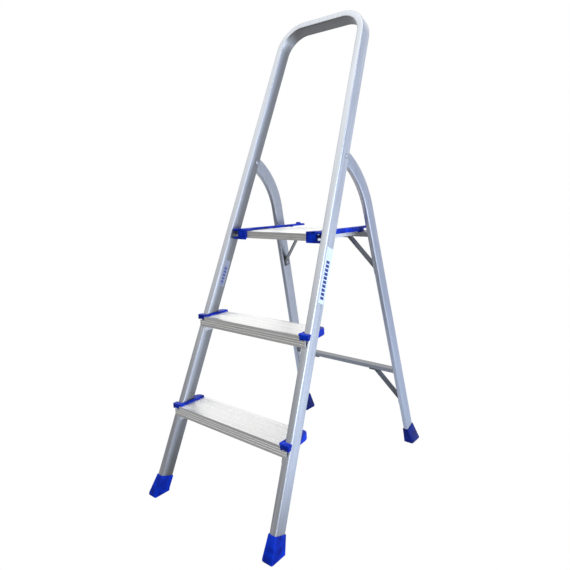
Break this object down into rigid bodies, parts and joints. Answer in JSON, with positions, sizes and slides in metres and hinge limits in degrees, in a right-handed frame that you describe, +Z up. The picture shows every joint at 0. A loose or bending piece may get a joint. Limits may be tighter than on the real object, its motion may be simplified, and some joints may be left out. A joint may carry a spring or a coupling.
{
  "type": "stepladder",
  "caption": "Folding aluminium platform stepladder with ribbed treads, a tall bent hoop handrail, curved rear legs and plastic feet.",
  "frame": {"origin": "on the floor, at the centre of the footprint", "axes": "+X to the climber's right, +Y from the climbing side to the rear legs, +Z up"},
  "size_m": [0.4592, 0.75, 1.2988],
  "materials": {
    "aluminium": "satin mill finish",
    "blue_plastic": "moulded, semi-gloss",
    "fastener": "plain"
  },
  "bodies": {
    "front_frame": {"front_foot_left": "blue_plastic", "front_foot_right": "blue_plastic", "front_hoop": "aluminium", "leg_pivot_pin_left": "fastener", "leg_pivot_pin_right": "fastener", "platform_hinge_pin_left": "fastener", "platform_hinge_pin_right": "fastener", "tread_lower": "aluminium", "tread_lower_angle_left": "aluminium", "tread_lower_angle_right": "aluminium", "tread_lower_end_cap_left": "blue_plastic", "tread_lower_end_cap_right": "blue_plastic", "tread_lower_rivet_left": "fastener", "tread_lower_rivet_right": "fastener", "tread_lower_stile_rivet_left_front": "fastener", "tread_lower_stile_rivet_left_rear": "fastener", "tread_lower_stile_rivet_right_front": "fastener", "tread_lower_stile_rivet_right_rear": "fastener", "tread_upper": "aluminium", "tread_upper_angle_left": "aluminium", "tread_upper_angle_right": "aluminium", "tread_upper_end_cap_left": "blue_plastic", "tread_upper_end_cap_right": "blue_plastic", "tread_upper_rivet_left": "fastener", "tread_upper_rivet_right": "fastener", "tread_upper_stile_rivet_left_front": "fastener", "tread_upper_stile_rivet_left_rear": "fastener", "tread_upper_stile_rivet_right_front": "fastener", "tread_upper_stile_rivet_right_rear": "fastener"},
    "rear_frame": {"brace_rivet_lower_left_bar": "fastener", "brace_rivet_lower_left_leg": "fastener", "brace_rivet_lower_right_bar": "fastener", "brace_rivet_lower_right_leg": "fastener", "brace_rivet_upper_left_bar": "fastener", "brace_rivet_upper_left_leg": "fastener", "brace_rivet_upper_right_bar": "fastener", "brace_rivet_upper_right_leg": "fastener", "crossbar_rivet_lower_left": "fastener", "crossbar_rivet_lower_right": "fastener", "crossbar_rivet_upper_left": "fastener", "crossbar_rivet_upper_right": "fastener", "knee_brace_lower_left": "aluminium", "knee_brace_lower_right": "aluminium", "knee_brace_upper_left": "aluminium", "knee_brace_upper_right": "aluminium", "rear_crossbar_lower": "aluminium", "rear_crossbar_upper": "aluminium", "rear_foot_left": "blue_plastic", "rear_foot_right": "blue_plastic", "rear_leg_left": "aluminium", "rear_leg_right": "aluminium"},
    "platform": {"platform_panel": "aluminium", "platform_rail_left": "blue_plastic", "platform_rail_right": "blue_plastic", "rail_screw_left_front": "fastener", "rail_screw_left_rear": "fastener", "rail_screw_right_front": "fastener", "rail_screw_right_rear": "fastener"}
  },
  "joints": [
    {"name": "rear_frame_fold", "type": "hinge", "parent": "front_frame", "child": "rear_frame", "pos_m": [0, 0.02217, 0.9], "axis": [-1, 0, 0], "range_deg": [0, 36]},
    {"name": "platform_fold", "type": "hinge", "parent": "front_frame", "child": "platform", "pos_m": [0, -0.05956, 0.699], "axis": [1, 0, 0], "range_deg": [0, 66]}
  ],
  "couplings": [
    {"joint": "platform_fold", "follows": "rear_frame_fold", "ratio": 1.83}
  ]
}
